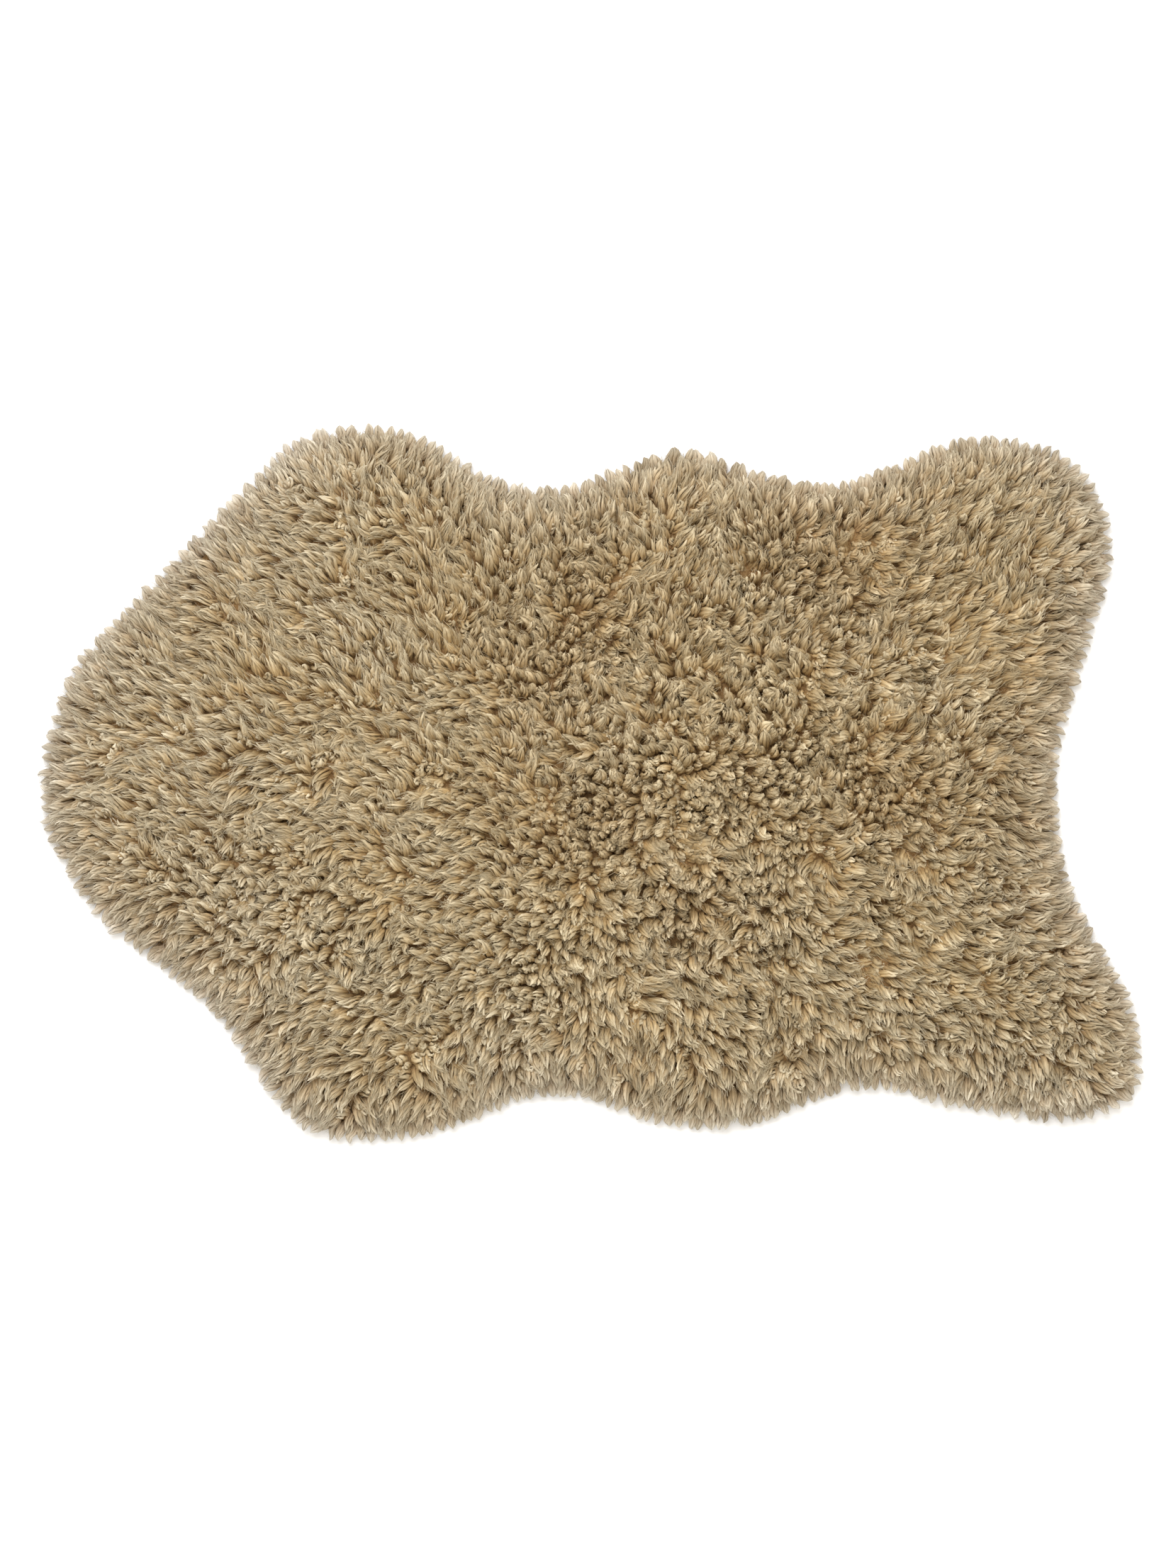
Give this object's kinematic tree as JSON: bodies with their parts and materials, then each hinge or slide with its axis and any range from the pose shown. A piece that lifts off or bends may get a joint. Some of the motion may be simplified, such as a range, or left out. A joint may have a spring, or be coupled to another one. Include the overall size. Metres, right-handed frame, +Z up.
{
  "type": "shaggy wool rug",
  "caption": "Hide-shaped shaggy wool rug: long wavy beige tufts on a latexed cloth and canvas backing with a taped and stitched edge, lying flat.",
  "frame": {"origin": "on the floor, under the middle of the rug's box", "axes": "+X along the rug from the neck end to the rump end, +Z up out of the pile"},
  "size_m": [1.0999, 0.7171, 0.038],
  "materials": {
    "wool_pile": "long wavy wool locks, matt with a soft sheen",
    "backing_cloth": "plain woven cotton cloth",
    "latex": "matt latex adhesive",
    "canvas": "coarse plain woven cotton canvas",
    "binding_tape": "herringbone cotton tape",
    "thread": "twisted polyester thread",
    "label_cloth": "smooth woven satin, blank"
  },
  "bodies": {
    "root": {"pile_neck": "wool_pile", "pile_shoulders": "wool_pile", "pile_fore_leg_right": "wool_pile", "pile_fore_leg_left": "wool_pile", "pile_back": "wool_pile", "pile_belly_right": "wool_pile", "pile_belly_left": "wool_pile", "pile_rump": "wool_pile", "pile_hind_leg_right": "wool_pile", "pile_hind_leg_left": "wool_pile", "primary_backing": "backing_cloth", "latex_layer": "latex", "secondary_backing": "canvas", "edge_binding": "binding_tape", "binding_stitches": "thread", "care_label": "label_cloth", "label_stitches": "thread"}
  },
  "joints": []
}
